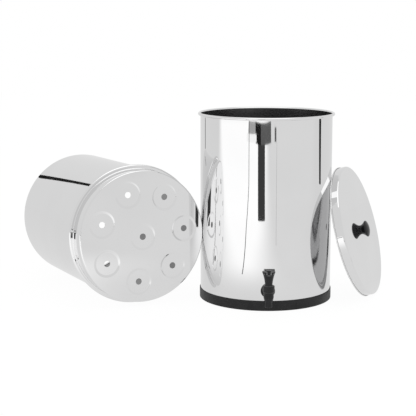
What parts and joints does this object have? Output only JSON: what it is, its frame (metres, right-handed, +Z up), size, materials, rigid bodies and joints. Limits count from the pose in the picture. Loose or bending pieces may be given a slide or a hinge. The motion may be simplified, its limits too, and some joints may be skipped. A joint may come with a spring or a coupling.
{
  "type": "gravity water filter with tap",
  "caption": "Gravity-fed water filter taken apart: standing lower chamber with a lever tap, upper chamber on its side showing its element holes, and the knobbed lid leaning beside them.",
  "frame": {"origin": "on the floor, at the middle of the lower chamber's ring foot", "axes": "+Z up along the standing chamber, -Y towards the tap's side, +X to the lid's side"},
  "size_m": [0.811, 0.5244, 0.3977],
  "materials": {
    "polished_steel": "mirror-polished stainless steel",
    "plain_steel": "plain stainless steel",
    "ring_rubber": "satin black",
    "washer_rubber": "matt black",
    "black_plastic": "moulded, semi-gloss",
    "knob_plastic": "moulded, glossy",
    "white_plastic": "moulded acetal",
    "silicone": "translucent grey",
    "brass": "turned"
  },
  "bodies": {
    "stand": {"lower_chamber": "polished_steel", "base_ring": "ring_rubber", "tap_body": "black_plastic", "outer_washer": "washer_rubber", "inner_washer": "washer_rubber", "shank_plate": "plain_steel", "shank_nut": "black_plastic", "tap_bonnet": "black_plastic", "lever_pin": "plain_steel", "stem_seal": "silicone", "spring_plate": "plain_steel"},
    "lever": {"tap_lever": "black_plastic"},
    "valve": {"valve_stem": "white_plastic", "seat_cup": "silicone", "valve_spring": "plain_steel"},
    "upper": {"upper_chamber": "polished_steel"},
    "cover": {"lid": "polished_steel", "lid_knob": "knob_plastic", "knob_insert": "brass", "knob_gasket": "washer_rubber", "knob_washer": "plain_steel", "knob_screw": "plain_steel"}
  },
  "joints": [
    {"name": "lever_press", "type": "hinge", "parent": "stand", "child": "lever", "pos_m": [0, -0.1915, 0.089], "axis": [1, 0, 0], "range_deg": [0, 25], "stiffness_Nm_per_rad": 0.03, "springref_deg": -17.19},
    {"name": "valve_lift", "type": "slide", "parent": "stand", "child": "valve", "axis": [0, 0, 1], "range_m": [0, 0.0027], "deforming": ["valve_spring"]},
    {"name": "upper_lift", "type": "slide", "parent": "stand", "child": "upper", "axis": [-0.3, 0, 0.9539], "range_m": [0, 0.45]},
    {"name": "lid_lift", "type": "slide", "parent": "stand", "child": "cover", "axis": [0.3, 0, 0.9539], "range_m": [0, 0.45]}
  ],
  "couplings": [
    {"joint": "lever_press", "follows": "valve_lift", "rad_per_m": 153.85}
  ]
}
